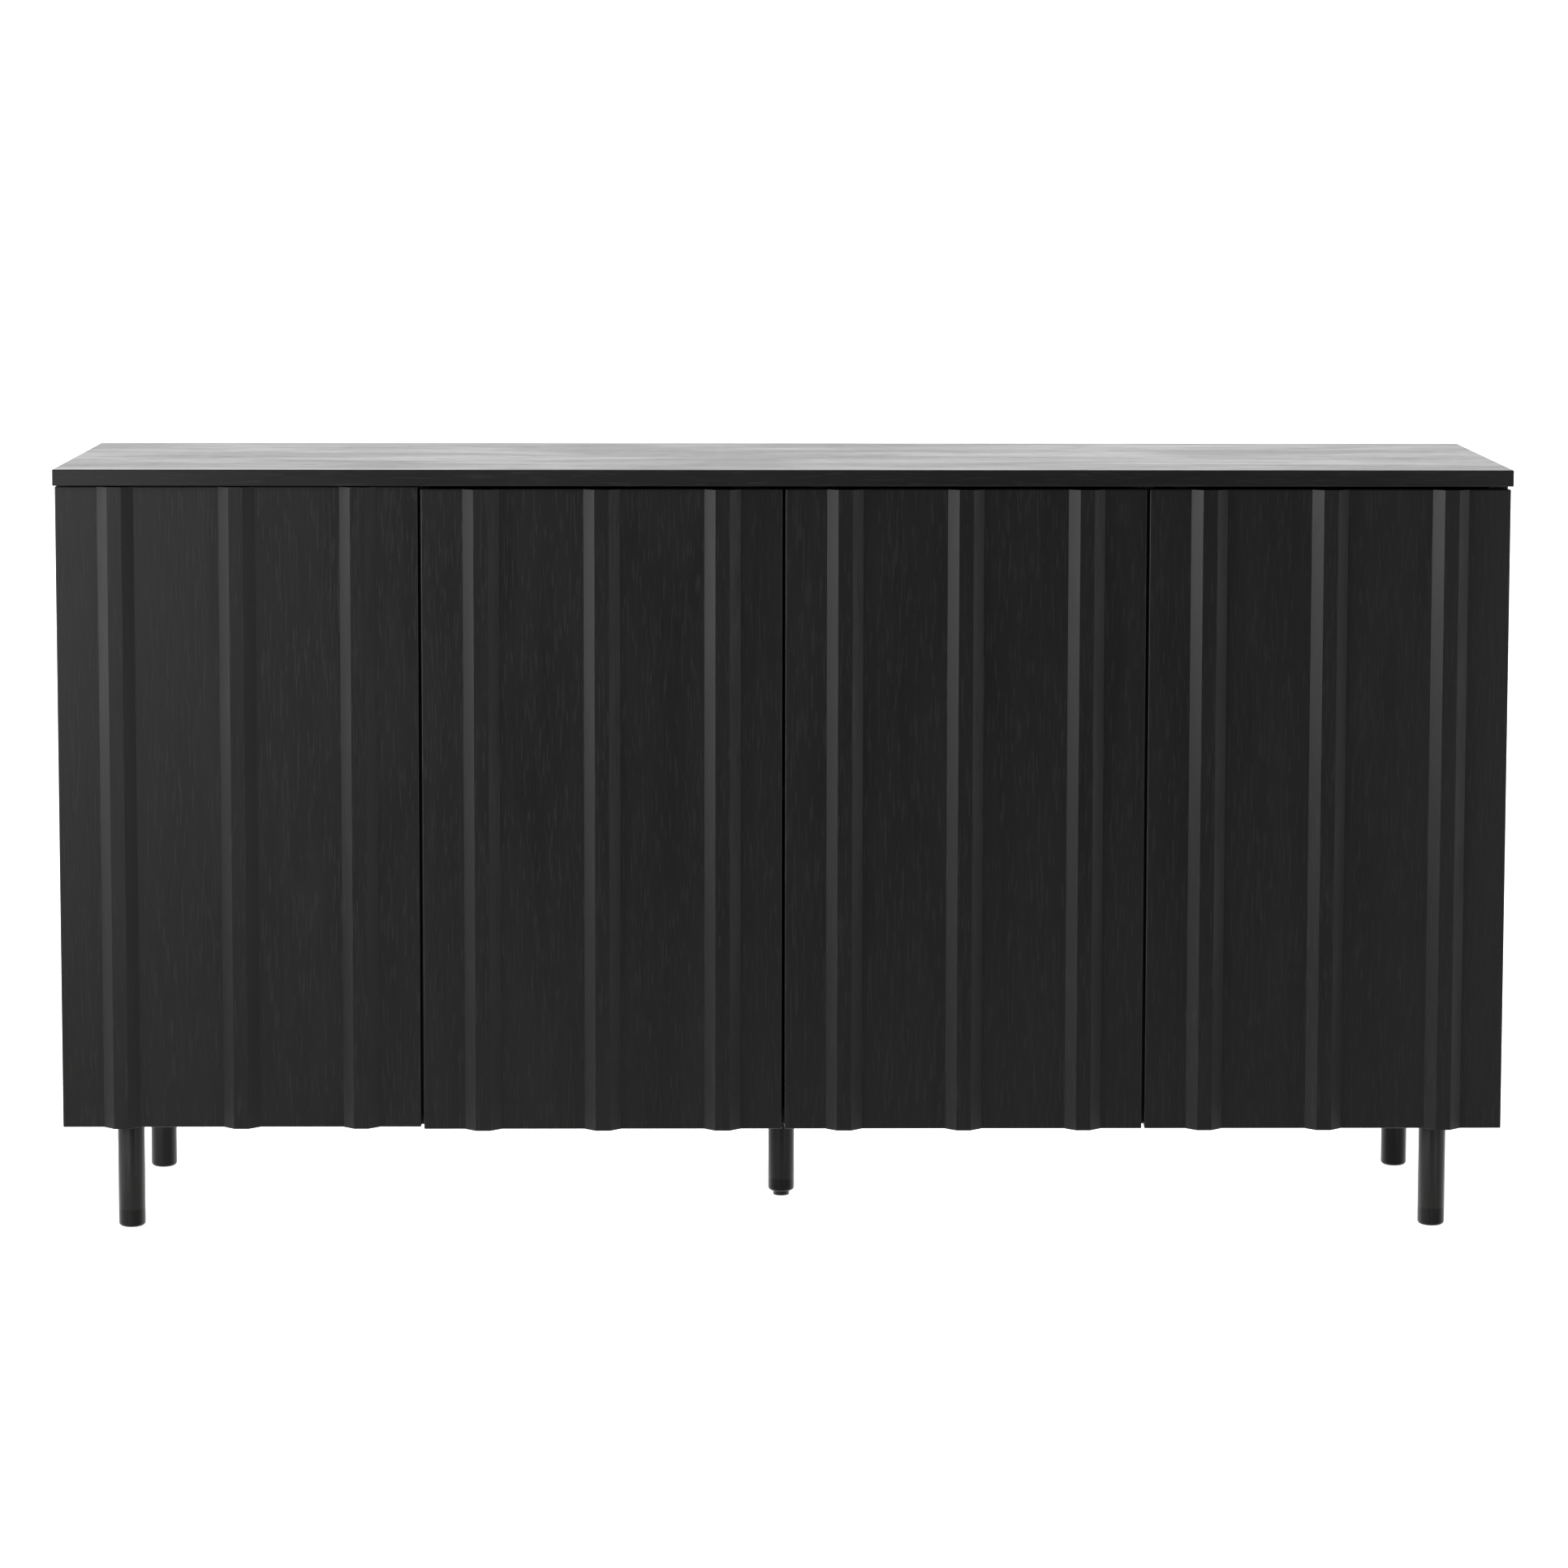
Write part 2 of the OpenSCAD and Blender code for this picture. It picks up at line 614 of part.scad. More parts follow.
// Places things on the mounting plate, under the two screws of a hinge arm, pointing away from the board
module at_arm_screws(face) for (side = [-1, 1])
    translate([face + plate_t, back_gap + plate_back + side * arm_screw_pitch / 2, 0])
        rotate([0, 90, 0]) children();

module side_hinge_arms() color(nickel) for (door = [1, 4]) at_hinge_edge(door)
    at_hinges(door, door_lift(door)) hinge_arm(side_face_u, side_neck_end);

module partition_hinge_arms() color(nickel) for (door = [2, 3]) at_hinge_edge(door)
    at_hinges(door, door_lift(door)) hinge_arm(partition_face_u, partition_neck_end);

// Mounting plates: a raised block under the arm and two screw wings
module hinge_plates() color(nickel) for (door = [1:4]) at_hinge_edge(door) at_hinges(door, 0)
    translate([face_u(door), back_gap + plate_back, 0]) difference() {
        union() {
            translate([0, -plate_block[0] / 2, -plate_block[1] / 2])
                cube([plate_t, plate_block[0], plate_block[1]]);
            translate([0, -plate_wing[0] / 2, -plate_wing[1] / 2]) cube([wing_t, plate_wing[0], plate_wing[1]]);
        }
        for (side = [-1, 1]) translate([-cut_past, 0, side * plate_screw_pitch / 2]) rotate([0, 90, 0])
            cylinder(r = plate_screw_r, h = wing_t + 2 * cut_past);
    }

// Screws that hold the plates to the boards, and the slotted screws that hold the arms to the plates
module hinge_screws() color(zinc) for (door = [1:4]) at_hinge_edge(door) {
    at_hinges(door, 0) for (side = [-1, 1])
        translate([face_u(door) + wing_t, back_gap + plate_back, side * plate_screw_pitch / 2])
            rotate([0, -90, 0])
                screw(plate_screw_r, plate_screw_l + wing_t, plate_screw_head_r, plate_screw_head_t);
    at_hinges(door, door_lift(door)) at_arm_screws(face_u(door)) difference() {
        cylinder(r = arm_screw_r, h = arm_bar_t + arm_screw_proud);
        translate([0, 0, arm_bar_t + arm_screw_proud])
            cube([2 * arm_screw_r + cut_past, slot_w, 2 * slot_depth], center = true);
    }
}

// Latch housings: a long box with a bore, hanging from a flange under the top panel
module latch_housings() color(black_plastic) for (door = [1:4])
    translate([latch_x(door), latch_y, latch_z]) difference() {
        union() {
            translate([-latch_w / 2, -latch_l / 2, -latch_h / 2]) cube([latch_w, latch_l, latch_h]);
            translate([-latch_w / 2, -latch_flange[1] / 2, 0])
                cube([latch_w, latch_flange[1], latch_drop]);
            translate([-latch_flange[0] / 2, -latch_flange[1] / 2, latch_drop - wing_t])
                cube([latch_flange[0], latch_flange[1], wing_t]);
        }
        translate([0, -latch_l / 2 - cut_past, 0]) rotate([-90, 0, 0])
            cylinder(r = plunger_r + plunger_play, h = plunger_bore_l + cut_past);
        for (side = [-1, 1]) translate([side * latch_screw_x, 0, latch_drop - wing_t - cut_past])
            cylinder(r = latch_screw_r, h = wing_t + 2 * cut_past);
    }

module latch_screws() color(zinc) for (door = [1:4], side = [-1, 1])
    translate([latch_x(door) + side * latch_screw_x, latch_y, top_z - wing_t])
        screw(latch_screw_r, latch_screw_l + wing_t, latch_screw_head_r, latch_screw_head_t);

// A latch plunger, a hair away from its strike while the door is closed
module latch_plunger(door) color(grey_plastic)
    translate([latch_x(door), door_back_y + strike_t + strike_clearance, latch_z]) rotate([-90, 0, 0])
        cylinder(r = plunger_r, h = plunger_l);

module latch_plunger_1() latch_plunger(1);
module latch_plunger_2() latch_plunger(2);
module latch_plunger_3() latch_plunger(3);
module latch_plunger_4() latch_plunger(4);

// Strike disc on the back of a door, in front of its plunger
module strike(door) color(zinc) translate([latch_x(door), door_back_y, latch_z]) rotate([-90, 0, 0])
    cylinder(r = strike_r, h = strike_t);

module door_1_strike() strike(1);
module door_2_strike() strike(2);
module door_3_strike() strike(3);
module door_4_strike() strike(4);

top_panel();
bottom_panel();
left_side_panel();
right_side_panel();
left_partition();
right_partition();
left_back_panel();
middle_back_panel();
right_back_panel();
left_shelf();
middle_shelf();
right_shelf();
shelf_pins();
cam_locks();
cam_bolts();
dowels();
front_left_leg();
front_right_leg();
rear_left_leg();
rear_right_leg();
centre_leg();
leg_plates();
leg_studs();
leg_plate_screws();
leg_glides();
centre_foot();
door_1_panel();
door_2_panel();
door_3_panel();
door_4_panel();
door_1_ribs();
door_2_ribs();
door_3_ribs();
door_4_ribs();
door_1_hinge_cups();
door_2_hinge_cups();
door_3_hinge_cups();
door_4_hinge_cups();
door_1_hinge_pins();
door_2_hinge_pins();
door_3_hinge_pins();
door_4_hinge_pins();
door_1_cup_screws();
door_2_cup_screws();
door_3_cup_screws();
door_4_cup_screws();
side_hinge_arms();
partition_hinge_arms();
hinge_plates();
hinge_screws();
latch_housings();
latch_screws();
latch_plunger_1();
latch_plunger_2();
latch_plunger_3();
latch_plunger_4();
door_1_strike();
door_2_strike();
door_3_strike();
door_4_strike();
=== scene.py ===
"""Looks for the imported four-door sideboard: boards, ribs, legs and fittings around the CAD frame."""
import math

import bmesh
import bpy
from mathutils import Matrix, Vector


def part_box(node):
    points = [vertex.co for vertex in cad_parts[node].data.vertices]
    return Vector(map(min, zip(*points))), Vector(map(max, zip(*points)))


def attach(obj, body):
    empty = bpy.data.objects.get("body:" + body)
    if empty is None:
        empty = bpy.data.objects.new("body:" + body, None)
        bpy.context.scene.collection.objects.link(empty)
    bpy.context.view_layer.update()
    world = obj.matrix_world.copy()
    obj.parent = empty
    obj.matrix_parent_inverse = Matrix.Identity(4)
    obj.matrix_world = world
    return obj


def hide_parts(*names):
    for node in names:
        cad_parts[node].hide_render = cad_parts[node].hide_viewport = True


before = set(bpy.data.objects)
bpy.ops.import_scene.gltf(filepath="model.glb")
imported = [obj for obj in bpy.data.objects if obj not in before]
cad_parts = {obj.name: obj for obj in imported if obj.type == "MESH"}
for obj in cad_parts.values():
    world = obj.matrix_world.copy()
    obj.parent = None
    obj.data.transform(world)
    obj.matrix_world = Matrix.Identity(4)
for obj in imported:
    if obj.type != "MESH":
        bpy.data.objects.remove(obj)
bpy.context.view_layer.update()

X, Y, Z = 0, 1, 2
DOORS = (1, 2, 3, 4)

# Sizes in metres
TOP_SOFT = 0.0009          # rounding of the top's edges
FACE_SOFT = 0.0012         # rounding of the edges of the doors and the shelves
CASE_SOFT = 0.0006         # rounding of the edges of the case's boards
BACK_SOFT = 0.0003         # rounding of the thin back panels' edges
SOFT_STEPS = 3             # facets across a rounded edge

RIBS_PER_DOOR = 3
RIB_BASE = 0.040           # width of a rib on the door
RIB_FRONT = 0.016          # width of its flat front
RIB_SOFT = 0.0007          # rounding of its two front corners
RIB_END_SOFT = 0.0004      # rounding of its ends
RIB_END_STEPS = 2          # facets across that rounding

LEG_ROUND = 0.004          # rounding of a leg's lower edge
LEG_ROUND_STEPS = 8        # facets across that rounding
LEG_TOP_SOFT = 0.0006      # rounding of its upper edge
LEG_STEPS = 96             # facets round a leg
RECESS_CHAMFER = 0.0004    # chamfer round the mouth of the recess under a leg
GLIDE_PLAY = 0.0003        # gap between a glide and the recess that it sits in
FOOT_RECESS = 0.009        # height of the recess in the centre leg
FOOT_PLAY = 0.00035        # gap between the levelling foot and its recess

HINGE_SOFT = 0.0003        # softening of the edges of hinges and shelf pins
SCREW_SOFT = 0.0002        # the same for screws, cams, leg plates and strikes
DOWEL_SOFT = 0.0005        # the same for the wooden dowels
PLASTIC_SOFT = 0.0006      # the same for the plastic fittings
FITTING_STEPS = 2          # facets across those edges

BUMPER_RADIUS = 0.004
BUMPER_CLEARANCE = 0.0003  # what a closed door leaves free in front of its bumper
BUMPER_STEPS = 32          # facets round a bumper
DOME_STEPS = 6             # facets from a bumper's rim to its middle

# How faces are told apart
SHARP_ANGLE = math.radians(40)
WELD = 1e-6                # distance at which points are one point
OUTER_PLANE = 1e-5         # distance from its piece's box at which a face is an outer one
SQUARE_ON = 0.9999         # least normal, along an axis, of a face that is square to it
FACING = 0.5               # least normal, along an axis, of a face that looks that way
END_FACING = 0.9           # the same for the ends of a rib
HOLE_FACET = 1e-5          # largest area of a facet of a hole's wall, in square metres
ONE_SIDE = 2               # place, in a board's list of materials, of the one for a single side


# ---------------------------------------------------------------- shader nodes

def add_node(tree, kind, inputs=None, **settings):
    """A new node. Its settings are given by name, and its inputs as values or as sockets to link."""
    made = tree.nodes.new(kind)
    for name, value in settings.items():
        setattr(made, name, value)
    for name, value in (inputs or {}).items():
        if isinstance(value, bpy.types.NodeSocket):
            tree.links.new(value, made.inputs[name])
        else:
            made.inputs[name].default_value = value
    return made


def new_material(name, **shader_values):
    """A material with a Principled shader whose constant values are set on its own sockets."""
    material = bpy.data.materials.new(name)
    material.use_nodes = True
    shader = material.node_tree.nodes["Principled BSDF"]
    for key, value in shader_values.items():
        shader.inputs[key.replace("_", " ").title().replace("Ior", "IOR")].default_value = value
    return material, material.node_tree, shader


def piece_place(tree):
    """Object coordinates, moved by an amount of each piece's own, so that no two boards look alike."""
    place = add_node(tree, "ShaderNodeTexCoord").outputs["Object"]
    chance = add_node(tree, "ShaderNodeObjectInfo").outputs["Random"]
    moved = add_node(tree, "ShaderNodeVectorMath", {0: chance, 1: (3.1, 1.7, 2.3), 2: place},
                     operation="MULTIPLY_ADD")
    return moved.outputs[0]


def even_noise(tree, place, cells, detail=2.0):
    """Noise that is alike in every direction, with so many cells for each metre."""
    made = add_node(tree, "ShaderNodeTexNoise", {"Vector": place, "Scale": cells, "Detail": detail})
    return made.outputs["Fac"]


def grain_noise(tree, place, grain, cells, detail=2.0, distortion=0.0):
    """Noise stretched along the grain axis. cells are for each metre, across the grain and along it."""
    across, along = cells
    scale = [across, across, across]
    scale[grain] = along
    mapped = add_node(tree, "ShaderNodeMapping", {"Vector": place, "Scale": scale})
    made = add_node(tree, "ShaderNodeTexNoise", {
        "Vector": mapped.outputs[0], "Scale": 1.0, "Detail": detail, "Distortion": distortion})
    return made.outputs["Fac"]


def spread(tree, value, low, high, to_low=0.0, to_high=1.0):
    """Maps low..high to to_low..to_high, and holds the ends."""
    made = add_node(tree, "ShaderNodeMapRange", {
        "Value": value, "From Min": low, "From Max": high, "To Min": to_low, "To Max": to_high})
    return made.outputs["Result"]


def maths(tree, operation, a, b):
    """The sum, difference or product of two values or sockets."""
    return add_node(tree, "ShaderNodeMath", {0: a, 1: b}, operation=operation).outputs[0]


def blend_colours(tree, share, a, b):
    """Colour a at share 0 and colour b at share 1."""
    made = add_node(tree, "ShaderNodeMix", {0: share}, data_type="RGBA")
    for index, colour in ((6, a), (7, b)):
        if isinstance(colour, bpy.types.NodeSocket):
            tree.links.new(colour, made.inputs[index])
        else:
            made.inputs[index].default_value = (*colour, 1.0)
    return made.outputs[2]


def bump(tree, shader, height, strength, distance):
    """Lets a height pattern tilt the shader's normals. distance is the relief's depth in metres."""
    made = add_node(tree, "ShaderNodeBump", {
        "Height": height, "Strength": strength, "Distance": distance})
    tree.links.new(made.outputs["Normal"], shader.inputs["Normal"])


# ---------------------------------------------------------------- materials

# Noise cells for each metre, across the grain and along it
FIGURE_CELLS = (16, 1.1)
SHEEN_CELLS = (22, 4.5)
FIBRE_CELLS = (520, 11)
PORE_CELLS = (560, 34)
ROLLING_CELLS = (5200, 160)

NOISE_SPAN = (0.3, 0.7)    # part of a noise's values that is spread over a colour or a gloss
SHEEN_SPAN = (0.35, 0.65)  # the same for the wood's sheen
PORE_SPAN = (0.58, 0.68)   # noise value where a pore starts, and where it is full

FIGURE_TONE = 0.55         # the figure's share of the wood's tone
FIBRE_TONE = 0.45          # the fibres' share of it
PORE_TONE = 0.42           # how much of the colour a full pore takes over; in the oaks that colour is a painted highlight
PORE_ROUGH = 0.10          # what a pore adds to the roughness
FIBRE_RISE = 0.15          # height of a fibre, as a share of GRAIN_DEPTH
PORE_DIP = 0.35            # depth of a pore, as a share of it
GRAIN_DEPTH = 0.0002       # metres


def wood(name, grain, tones, gloss=(0.30, 0.38), level=0.25, relief=0.4):
    """Open-pored wood with its fibres along one axis: slow figure, fine fibres, short pores, and a
    sheen that wanders across the board where the lacquer has sunk in. tones are dark, light, pore;
    in the oaks the pore tone is lighter than the wood: a painted highlight of light caught in the pores."""
    dark, light, pore = tones
    material, tree, shader = new_material(name, specular_ior_level=level)
    place = piece_place(tree)
    figure = grain_noise(tree, place, grain, FIGURE_CELLS, 3.0, 0.9)
    sheen = grain_noise(tree, place, grain, SHEEN_CELLS, 2.0, 0.7)
    fibres = grain_noise(tree, place, grain, FIBRE_CELLS, 2.0)
    dashes = grain_noise(tree, place, grain, PORE_CELLS, 1.0)
    pores = spread(tree, dashes, *PORE_SPAN)

    slow_tone = spread(tree, figure, *NOISE_SPAN, 0.0, FIGURE_TONE)
    fine_tone = spread(tree, fibres, *NOISE_SPAN, 0.0, FIBRE_TONE)
    stained = blend_colours(tree, maths(tree, "ADD", slow_tone, fine_tone), dark, light)
    # The pores take the pore tone. In the oaks it is lighter than the wood: a painted highlight of light
    # caught in the pores.
    colour = blend_colours(tree, maths(tree, "MULTIPLY", pores, PORE_TONE), stained, pore)
    tree.links.new(colour, shader.inputs["Base Color"])

    lacquer = spread(tree, sheen, *SHEEN_SPAN, *gloss)
    rough = maths(tree, "ADD", lacquer, maths(tree, "MULTIPLY", pores, PORE_ROUGH))
    tree.links.new(rough, shader.inputs["Roughness"])

    rise = maths(tree, "MULTIPLY", fibres, FIBRE_RISE)
    dip = maths(tree, "MULTIPLY", pores, PORE_DIP)
    bump(tree, shader, maths(tree, "SUBTRACT", rise, dip), strength=relief, distance=GRAIN_DEPTH)
    return material


def faced_board(name, dark, light, gloss=(0.48, 0.60)):
    """Matt faced board with a fine pearl texture."""
    material, tree, shader = new_material(name, specular_ior_level=0.3)
    place = piece_place(tree)
    pearls = even_noise(tree, place, cells=1100.0)
    clouds = even_noise(tree, place, cells=6.0, detail=3.0)
    tree.links.new(blend_colours(tree, clouds, dark, light), shader.inputs["Base Color"])
    tree.links.new(spread(tree, pearls, *NOISE_SPAN, *gloss), shader.inputs["Roughness"])
    bump(tree, shader, pearls, strength=0.3, distance=0.0002)
    return material


def plated_steel(name, dark, light, gloss, rolling_axis):
    """Plated pressed steel: a cloudy tone, and fine rolling marks along one axis."""
    material, tree, shader = new_material(name, metallic=1.0)
    place = piece_place(tree)
    clouds = even_noise(tree, place, cells=90.0, detail=4.0)
    marks = grain_noise(tree, place, rolling_axis, ROLLING_CELLS, 3.0)
    tree.links.new(blend_colours(tree, clouds, dark, light), shader.inputs["Base Color"])
    tree.links.new(spread(tree, marks, *NOISE_SPAN, *gloss), shader.inputs["Roughness"])
    bump(tree, shader, marks, strength=0.15, distance=0.00005)
    return material


def moulded_plastic(name, dark, light, gloss):
    """Moulded plastic with a fine spark-eroded texture."""
    material, tree, shader = new_material(name, specular_ior_level=0.45)
    place = piece_place(tree)
    grit = even_noise(tree, place, cells=2600.0)
    clouds = even_noise(tree, place, cells=60.0)
    tree.links.new(blend_colours(tree, clouds, dark, light), shader.inputs["Base Color"])
    tree.links.new(spread(tree, grit, *NOISE_SPAN, *gloss), shader.inputs["Roughness"])
    bump(tree, shader, grit, strength=0.25, distance=0.0001)
    return material


def clear_silicone(name, dark, light, gloss):
    """Clear, slightly cloudy silicone."""
    material, tree, shader = new_material(name, transmission_weight=0.85, ior=1.41)
    place = piece_place(tree)
    haze = even_noise(tree, place, cells=700.0)
    tree.links.new(blend_colours(tree, haze, dark, light), shader.inputs["Base Color"])
    tree.links.new(spread(tree, haze, *NOISE_SPAN, *gloss), shader.inputs["Roughness"])
    return material


# Dark, light and pore tones of each wood. The edge tones are lighter than the faces' tones: on the rounded
# edges this is a painted highlight of light caught by the rounding. The turned legs use the edge tones too.
# The oaks' pore tone is lighter than their wood: a painted highlight of light caught in the pores.
STAINED_OAK = ((0.0075, 0.0074, 0.0073), (0.0125, 0.0123, 0.0121), (0.021, 0.0205, 0.020))
EDGE_OAK = ((0.012, 0.0118, 0.0115), (0.020, 0.0195, 0.019), (0.028, 0.027, 0.026))
PLAIN_BEECH = ((0.46, 0.30, 0.16), (0.60, 0.42, 0.25), (0.40, 0.25, 0.13))

oak_upright = wood("black_oak_upright", Z, STAINED_OAK)
oak_lengthways = wood("black_oak_lengthways", X, STAINED_OAK)
# Lighter edge tones on the roundings: a painted highlight.
edge_upright = wood("oak_edge_upright", Z, EDGE_OAK, level=0.3)
edge_lengthways = wood("oak_edge_lengthways", X, EDGE_OAK, level=0.3)
oak_turned = wood("black_oak_turned", Z, EDGE_OAK)
beech = wood("plain_beech", Z, PLAIN_BEECH, gloss=(0.5, 0.6), level=0.4)

# The inside faces use a board about four times lighter than the black outer board: painted fill light, so
# that the dim inside reads.
inner_board = faced_board("inside_board_painted_fill_light", dark=(0.118, 0.118, 0.120), light=(0.136, 0.136, 0.136))
black_board = faced_board("black_faced_board", dark=(0.030, 0.030, 0.031), light=(0.038, 0.038, 0.038))

nickel = plated_steel("satin_nickel", dark=(0.52, 0.50, 0.47), light=(0.68, 0.66, 0.62),
                      gloss=(0.24, 0.36), rolling_axis=Z)
zinc = plated_steel("zinc_plate", dark=(0.48, 0.50, 0.52), light=(0.66, 0.68, 0.70),
                    gloss=(0.30, 0.48), rolling_axis=Y)

black_plastic = moulded_plastic("black_plastic", dark=(0.010, 0.010, 0.010), light=(0.018, 0.018, 0.018),
                                gloss=(0.38, 0.52))
grey_plastic = moulded_plastic("grey_plastic", dark=(0.24, 0.24, 0.25), light=(0.32, 0.32, 0.33),
                               gloss=(0.30, 0.44))
silicone = clear_silicone("clear_silicone", dark=(0.80, 0.80, 0.78), light=(0.90, 0.90, 0.89),
                          gloss=(0.12, 0.22))


# ---------------------------------------------------------------- mesh helpers

def finish_mesh(bm, name, materials):
    """Turns a bmesh into an object with the given materials."""
    mesh = bpy.data.meshes.new(name)
    bm.to_mesh(mesh)
    bm.free()
    for material in materials:
        mesh.materials.append(material)
    piece = bpy.data.objects.new(name, mesh)
    bpy.context.scene.collection.objects.link(piece)
    shade(piece)
    return piece


def is_outer_flat(face, low, high):
    """True if a face lies in one of the six planes of its piece's box."""
    axis = max((X, Y, Z), key=lambda i: abs(face.normal[i]))
    place = face.calc_center_median()[axis]
    distance = min(abs(place - low[axis]), abs(place - high[axis]))
    return abs(face.normal[axis]) > SQUARE_ON and distance < OUTER_PLANE


def shade(piece):
    """Smooth faces, with sharp edges at the large angles and where a flat outer face meets a rounding."""
    for face in piece.data.polygons:
        face.use_smooth = True
    piece.data.set_sharp_from_angle(angle=SHARP_ANGLE)
    bm = bmesh.new()
    bm.from_mesh(piece.data)
    low = [min(v.co[i] for v in bm.verts) for i in (X, Y, Z)]
    high = [max(v.co[i] for v in bm.verts) for i in (X, Y, Z)]
    for edge in bm.edges:
        if len({is_outer_flat(face, low, high) for face in edge.link_faces}) > 1:
            edge.smooth = False
    bm.to_mesh(piece.data)
    bm.free()


def weigh_normals(piece):
    """Keeps the large flat faces flat, and lets the rounded edges take up the turn."""
    modifier = piece.modifiers.new("flat_faces", "WEIGHTED_NORMAL")
    modifier.mode = "FACE_AREA"
    modifier.weight = 100
    modifier.keep_sharp = True


def rounded_box(low, high, soft):
    """A box between two corners with rounded edges, whose roundings take the second material."""
    bm = bmesh.new()
    bmesh.ops.create_cube(bm, size=1.0)
    centre = (low + high) / 2
    for vertex in bm.verts:
        vertex.co = Vector(c + v * (h - l) for c, v, h, l in zip(centre, vertex.co, high, low))
    bmesh.ops.bevel(bm, geom=bm.edges[:], offset=soft, offset_type="OFFSET", segments=SOFT_STEPS,
                    profile=0.5, affect="EDGES", material=1)
    return bm


def carve(piece, node):
    """Cuts a piece down to a CAD node, which gives it that node's holes, grooves and bevels."""
    tool = bpy.data.objects.new("carving_tool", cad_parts[node].data.copy())
    bpy.context.scene.collection.objects.link(tool)
    welded = bmesh.new()
    welded.from_mesh(tool.data)
    bmesh.ops.remove_doubles(welded, verts=welded.verts, dist=WELD)
    welded.to_mesh(tool.data)
    welded.free()
    tool.data.materials.clear()
    modifier = piece.modifiers.new("carve", "BOOLEAN")
    modifier.operation = "INTERSECT"
    modifier.solver = "EXACT"
    modifier.object = tool
    shape = bpy.data.meshes.new_from_object(piece.evaluated_get(bpy.context.evaluated_depsgraph_get()))
    piece.modifiers.clear()
    piece.data = shape
    bpy.data.objects.remove(tool)
    shade(piece)


def fillet(points, radii, steps):
    """An outline whose corners are rounded, each by its own radius, with arcs of so many steps."""
    made = []
    for i, (corner, radius) in enumerate(zip(points, radii)):
        corner = Vector(corner)
        if radius == 0:
            made.append(corner)
            continue
        before = (Vector(points[i - 1]) - corner).normalized()
        after = (Vector(points[(i + 1) % len(points)]) - corner).normalized()
        half = before.angle(after) / 2
        centre = corner + (before + after).normalized() * radius / math.sin(half)
        start = corner + before * radius / math.tan(half) - centre
        end = corner + after * radius / math.tan(half) - centre
        turn = start.angle_signed(end)
        for step in range(steps + 1):
            angle = -turn * step / steps
            made.append(centre + Vector((
                start.x * math.cos(angle) - start.y * math.sin(angle),
                start.x * math.sin(angle) + start.y * math.cos(angle))))
    return made


def prism(outline, place, height, end_soft):
    """An outline pulled up along Z from place, with softened ends. The outline's points are (x, y)."""
    bm = bmesh.new()
    base = bm.faces.new([bm.verts.new((place.x + p.x, place.y + p.y, place.z)) for p in outline])
    pulled = bmesh.ops.extrude_face_region(bm, geom=[base])
    top = [v for v in pulled["geom"] if isinstance(v, bmesh.types.BMVert)]
    bmesh.ops.translate(bm, verts=top, vec=(0, 0, height))
    bmesh.ops.recalc_face_normals(bm, faces=bm.faces[:])
    ends = [f for f in bm.faces if abs(f.normal.z) > END_FACING]
    rims = list({e for f in ends for e in f.edges})
    bmesh.ops.bevel(bm, geom=rims, offset=end_soft, offset_type="OFFSET", segments=RIB_END_STEPS,
                    profile=0.5, affect="EDGES", material=1)
    return bm


def lathe(profile, centre, axis=Vector((0, 0, 1)), steps=LEG_STEPS):
    """A turned solid. The profile's points are (radius, height along the axis from centre)."""
    bm = bmesh.new()
    side = axis.orthogonal().normalized()
    other = axis.cross(side)
    rings = []
    for radius, height in profile:
        middle = centre + axis * height
        if radius == 0:
            rings.append([bm.verts.new(middle)])
            continue
        rings.append([bm.verts.new(middle + (side * math.cos(a) + other * math.sin(a)) * radius)
                      for a in (math.tau * i / steps for i in range(steps))])
    for lower, upper in zip(rings, rings[1:]):
        for i in range(steps):
            j = i + 1
            corners = [lower[i % len(lower)], lower[j % len(lower)]]
            corners += [upper[j % len(upper)], upper[i % len(upper)]]
            distinct = list(dict.fromkeys(corners))
            if len(distinct) > 2:
                bm.faces.new(distinct)
    bmesh.ops.recalc_face_normals(bm, faces=bm.faces[:])
    return bm


def arc(centre, radius, start, end, steps):
    """Points (radius, height) of an arc in a lathe's profile. The angles are in degrees."""
    angles = [math.radians(start + (end - start) * i / steps) for i in range(steps + 1)]
    return [(centre[0] + radius * math.cos(a), centre[1] + radius * math.sin(a)) for a in angles]


# ---------------------------------------------------------------- boards

def board(name, node, body, soft, materials, carved=True):
    """A board in the place of a CAD node, with rounded edges and the node's own holes and grooves."""
    piece = finish_mesh(rounded_box(*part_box(node), soft), name, materials)
    if carved:
        carve(piece, node)
    weigh_normals(piece)
    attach(piece, body)
    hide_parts(node)
    return piece


def dress_side(piece, axis, sign):
    """Gives a board's third material to the side that looks one way along an axis, and to bored holes."""
    for face in piece.data.polygons:
        bored = abs(face.normal[axis]) < FACING and face.area < HOLE_FACET
        if face.normal[axis] * sign > FACING or bored:
            face.material_index = ONE_SIDE


